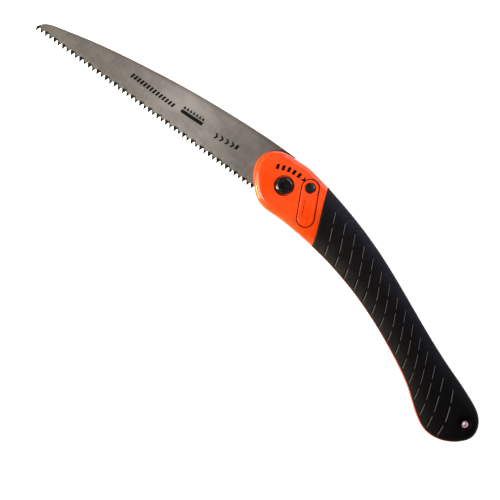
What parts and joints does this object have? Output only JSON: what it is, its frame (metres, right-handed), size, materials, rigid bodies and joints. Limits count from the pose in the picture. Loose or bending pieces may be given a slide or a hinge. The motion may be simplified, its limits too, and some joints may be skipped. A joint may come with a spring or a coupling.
{
  "type": "folding pruning saw",
  "caption": "Folding pruning saw: a curved, tapering pull-cut blade that swings into a curved handle with soft grips, a thumb lock on one flank and a lanyard eye at the tail.",
  "frame": {"origin": "middle of the bounding box, on the surface that the saw lies on with its blade open", "axes": "+X from the blade's nose to the tail of the handle, +Y towards the convex spine (the teeth face -Y), +Z out of the flank that carries the lock lever"},
  "size_m": [0.4458, 0.081, 0.022],
  "materials": {
    "blade_steel": "bead-blasted hard-chromed saw steel, warm grey, with faint diagonal grinding and darkened hardened tooth tips",
    "casing_plastic": "injection-moulded orange polypropylene with a satin skin and fine grain",
    "grip_rubber": "matt black thermoplastic rubber, finely stippled, with cut grooves",
    "black_steel": "black oxide, slightly glossy",
    "bright_steel": "zinc-plated steel, turned",
    "eyelet_steel": "rolled tube, warm grey, satin",
    "washer_plastic": "natural nylon"
  },
  "bodies": {
    "handle": {"shell_front": "casing_plastic", "shell_back": "casing_plastic", "grip_front": "grip_rubber", "grip_back": "grip_rubber", "pivot_screw": "black_steel", "head_washer": "bright_steel", "pivot_nut": "bright_steel", "spring_washer": "bright_steel", "pivot_bush": "bright_steel", "thrust_washer_front": "washer_plastic", "thrust_washer_back": "washer_plastic", "lever_pin": "bright_steel", "lock_spring": "bright_steel", "stop_pin": "bright_steel", "tail_rivet": "eyelet_steel", "tail_washer": "eyelet_steel", "handle_screws": "black_steel"},
    "blade": {"blade": "blade_steel"},
    "lock_lever": {"lock_lever": "casing_plastic"},
    "lock_pin": {"lock_pin": "bright_steel", "lock_button": "black_steel", "lock_clip": "bright_steel"}
  },
  "joints": [
    {"name": "blade_fold", "type": "hinge", "parent": "handle", "child": "blade", "pos_m": [-0.0075, 0.0183, 0.011], "axis": [0, 0, 1], "range_deg": [0, 160]},
    {"name": "lock_lever_swing", "type": "hinge", "parent": "handle", "child": "lock_lever", "pos_m": [0.0208, 0.0117, 0.0176], "axis": [0.8246, 0.5658, 0], "range_deg": [0, 6.53], "stiffness_Nm_per_rad": 0.07, "springref_deg": 9.17},
    {"name": "lock_pin_slide", "type": "slide", "parent": "handle", "child": "lock_pin", "axis": [0, 0, 1], "range_m": [0, 0.0026], "deforming": ["lock_spring"]}
  ],
  "couplings": [
    {"joint": "lock_pin_slide", "follows": "lock_lever_swing", "m_per_rad": 0.0228}
  ]
}
